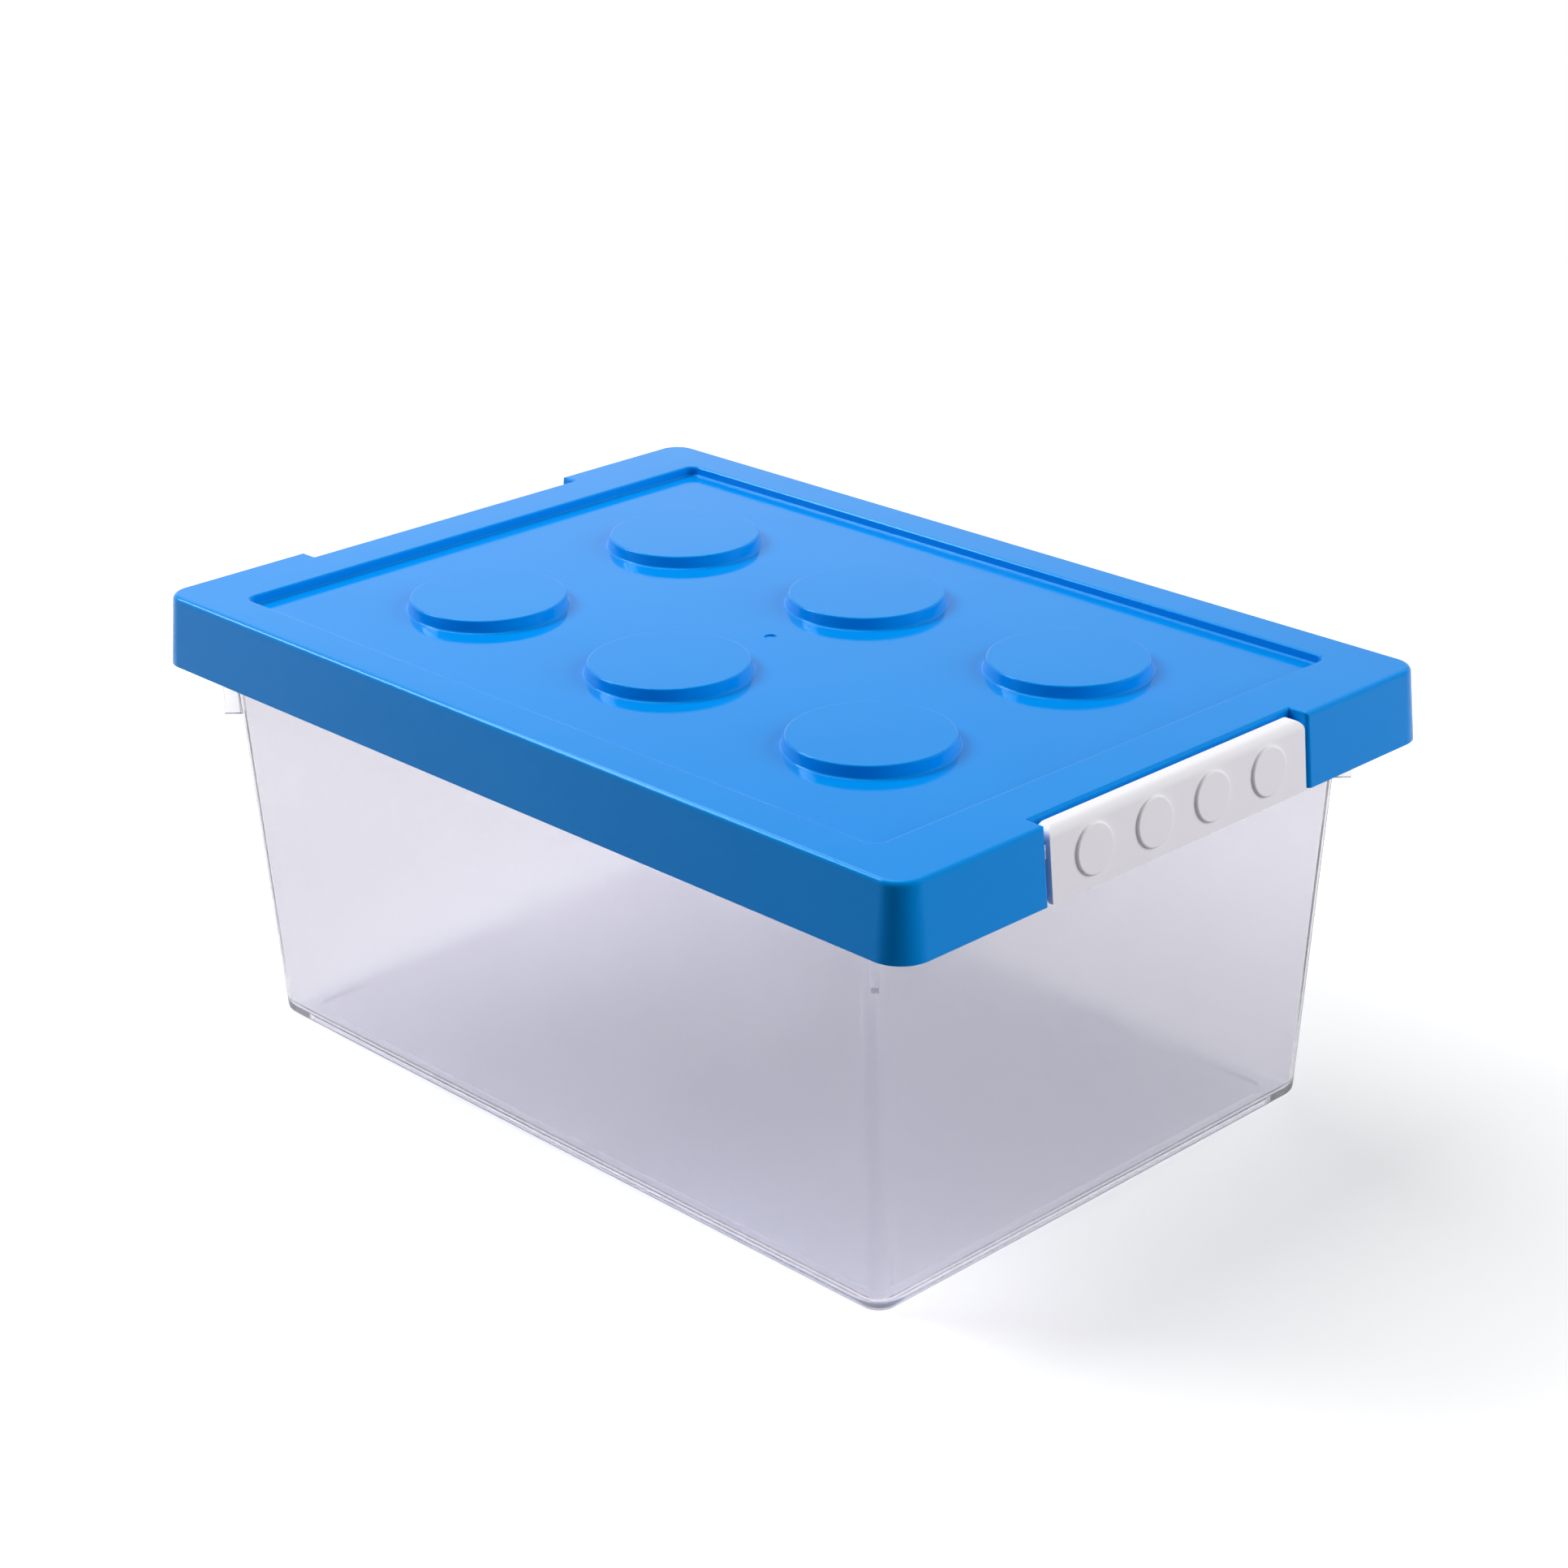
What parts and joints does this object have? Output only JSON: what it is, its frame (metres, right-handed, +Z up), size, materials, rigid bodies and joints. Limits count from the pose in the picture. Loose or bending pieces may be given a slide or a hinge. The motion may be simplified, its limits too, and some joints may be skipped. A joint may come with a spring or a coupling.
{
  "type": "lidded storage box",
  "caption": "Clear tapered storage tub with a brick-shaped lid carrying round studs in a recessed panel, held by a swing latch at each end.",
  "frame": {"origin": "middle of the closed box's footprint, on the plane that the tub stands on", "axes": "+X along the long side, towards the right-hand latch; +Y across the box; +Z up"},
  "size_m": [0.3758, 0.2576, 0.1659],
  "materials": {
    "clear_polypropylene": "clear injection-moulded polypropylene, slightly milky",
    "blue_polypropylene": "bright blue polypropylene, polished mould",
    "white_polypropylene": "white polypropylene, satin mould"
  },
  "bodies": {
    "tub": {"tub": "clear_polypropylene"},
    "lid": {"lid": "blue_polypropylene"},
    "latch_right": {"latch_right": "white_polypropylene"},
    "latch_left": {"latch_left": "white_polypropylene"}
  },
  "joints": [
    {"name": "lid_lift", "type": "slide", "parent": "tub", "child": "lid", "axis": [0, 0, 1], "range_m": [0, 0.025]},
    {"name": "latch_right_swing", "type": "hinge", "parent": "tub", "child": "latch_right", "pos_m": [0.1798, 0, 0.1455], "axis": [0, 1, 0], "range_deg": [0, 135]},
    {"name": "latch_left_swing", "type": "hinge", "parent": "tub", "child": "latch_left", "pos_m": [-0.1798, 0, 0.1455], "axis": [0, -1, 0], "range_deg": [0, 135]}
  ],
  "couplings": [
    {"joint": "latch_right_swing", "follows": "lid_lift", "rad_per_m": 94.24},
    {"joint": "latch_left_swing", "follows": "lid_lift", "rad_per_m": 94.24}
  ]
}
